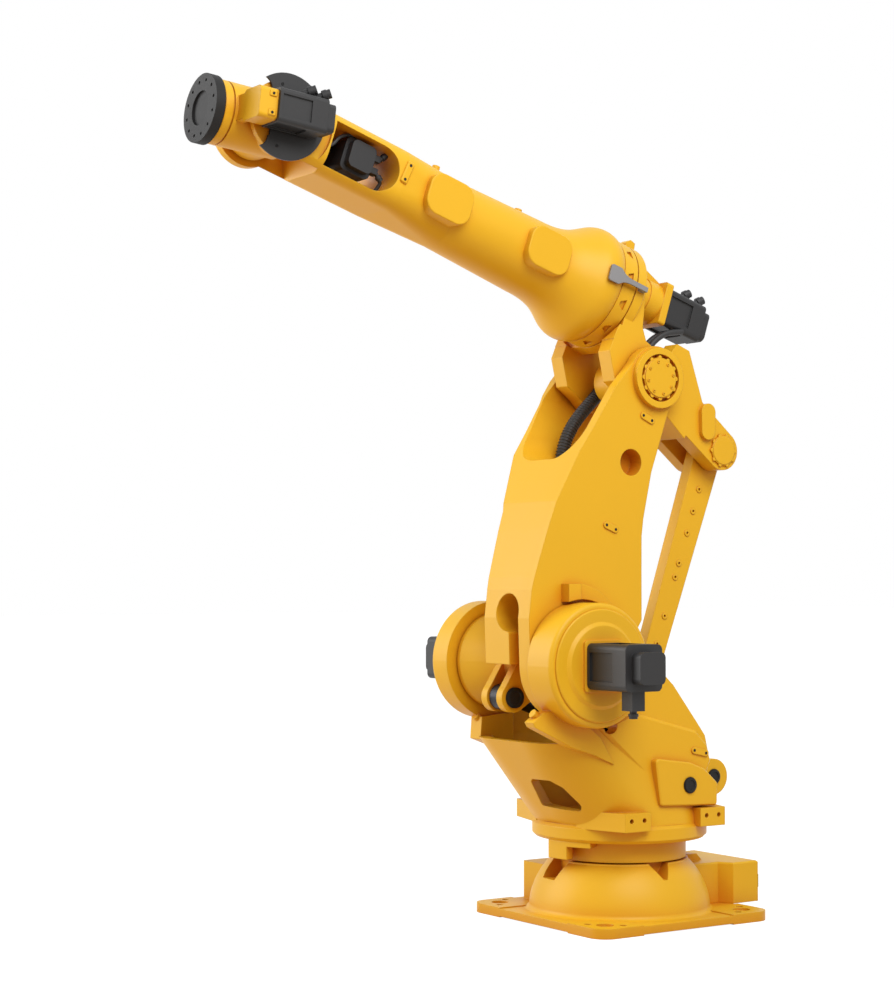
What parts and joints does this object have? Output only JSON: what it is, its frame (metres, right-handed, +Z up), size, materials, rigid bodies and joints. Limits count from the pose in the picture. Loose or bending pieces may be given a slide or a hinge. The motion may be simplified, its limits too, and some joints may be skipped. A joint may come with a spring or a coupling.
{
  "type": "industrial robot arm",
  "caption": "Floor-standing articulated industrial robot arm with a parallelogram linkage, shoulder balancer, forked wrist and round tool flange.",
  "frame": {"origin": "on the column's turning axis, at the floor under the foot plate", "axes": "+Z up along the column's axis, +X the way the arm reaches at rest, +Y the arm's left side"},
  "size_m": [2.4663, 1.402, 3.1275],
  "materials": {
    "yellow_paint": "satin paint on castings",
    "black_motor": "fine matt black paint",
    "black_steel": "blackened steel",
    "polished_steel": "ground rod",
    "grey_metal": "matt grey",
    "hose_rubber": "matt rubber"
  },
  "bodies": {
    "base": {"base_casting": "yellow_paint", "connection_box": "yellow_paint", "box_sockets": "black_motor"},
    "column": {"column_casting": "yellow_paint", "side_pin": "black_steel", "lug_pin": "black_steel", "near_shoulder_cover": "yellow_paint", "far_shoulder_cover": "yellow_paint", "near_shoulder_motor": "black_motor", "far_shoulder_motor": "black_motor", "stop_finger": "yellow_paint"},
    "lower_arm": {"lower_arm": "yellow_paint", "arm_stop": "yellow_paint", "near_elbow_cap": "yellow_paint", "far_elbow_cap": "yellow_paint", "clevis_pin": "black_steel", "pocket_hose": "hose_rubber"},
    "crank": {"crank": "yellow_paint", "crank_pin": "black_steel"},
    "link_rod": {"link_rod": "yellow_paint"},
    "balancer_rod": {"balancer_rod": "polished_steel"},
    "balancer_cylinder": {"balancer_cylinder": "black_motor"},
    "upper_arm": {"elbow_housing": "yellow_paint", "tail_pin": "yellow_paint", "roll_motor": "black_motor", "seam_bracket": "grey_metal"},
    "forearm": {"forearm": "yellow_paint", "bend_motor": "black_motor"},
    "wrist": {"wrist_housing": "yellow_paint", "guard_disc": "black_motor", "turn_motor": "black_motor"},
    "flange": {"tool_flange": "black_steel"}
  },
  "joints": [
    {"name": "base_turn", "type": "hinge", "parent": "base", "child": "column", "pos_m": [0, 0, 0.24], "axis": [0, 0, 1], "range_deg": [-165, 165]},
    {"name": "shoulder", "type": "hinge", "parent": "column", "child": "lower_arm", "pos_m": [0.401, 0, 1.013], "axis": [0, 1, 0], "range_deg": [-20, 65]},
    {"name": "elbow", "type": "hinge", "parent": "lower_arm", "child": "upper_arm", "pos_m": [0.003, 0, 2.121], "axis": [0, -1, 0], "range_deg": [-45, 35]},
    {"name": "crank_turn", "type": "hinge", "parent": "lower_arm", "child": "crank", "pos_m": [0.401, 0, 1.013], "axis": [0, -1, 0], "range_deg": [-45, 35]},
    {"name": "link_pivot", "type": "hinge", "parent": "crank", "child": "link_rod", "pos_m": [0.01201, 0, 0.74566], "axis": [0, -1, 0], "range_deg": [-35, 45]},
    {"name": "balancer_front", "type": "hinge", "parent": "lower_arm", "child": "balancer_rod", "pos_m": [0.535, 0, 0.881], "axis": [0, 1, 0], "range_deg": [-65, 20]},
    {"name": "balancer_rear", "type": "hinge", "parent": "column", "child": "balancer_cylinder", "pos_m": [-0.465, 0, 0.527], "axis": [0, 1, 0], "range_deg": [-0.16, 0.52]},
    {"name": "forearm_roll", "type": "hinge", "parent": "upper_arm", "child": "forearm", "pos_m": [0.08191, 0, 2.46607], "axis": [0.9497, 0, 0.3132], "range_deg": [-180, 180]},
    {"name": "wrist_bend", "type": "hinge", "parent": "forearm", "child": "wrist", "pos_m": [1.61472, 0, 2.97151], "axis": [0, -1, 0], "range_deg": [-95, 120]},
    {"name": "flange_turn", "type": "hinge", "parent": "wrist", "child": "flange", "pos_m": [1.87727, 0, 2.99911], "axis": [0.9945, 0, 0.1045], "range_deg": [-360, 360]}
  ],
  "couplings": [
    {"joint": "crank_turn", "follows": "elbow", "ratio": 1},
    {"joint": "link_pivot", "follows": "elbow", "ratio": -1},
    {"joint": "balancer_front", "follows": "shoulder", "ratio": -1},
    {"joint": "balancer_rear", "follows": "shoulder", "ratio": 0.008}
  ]
}
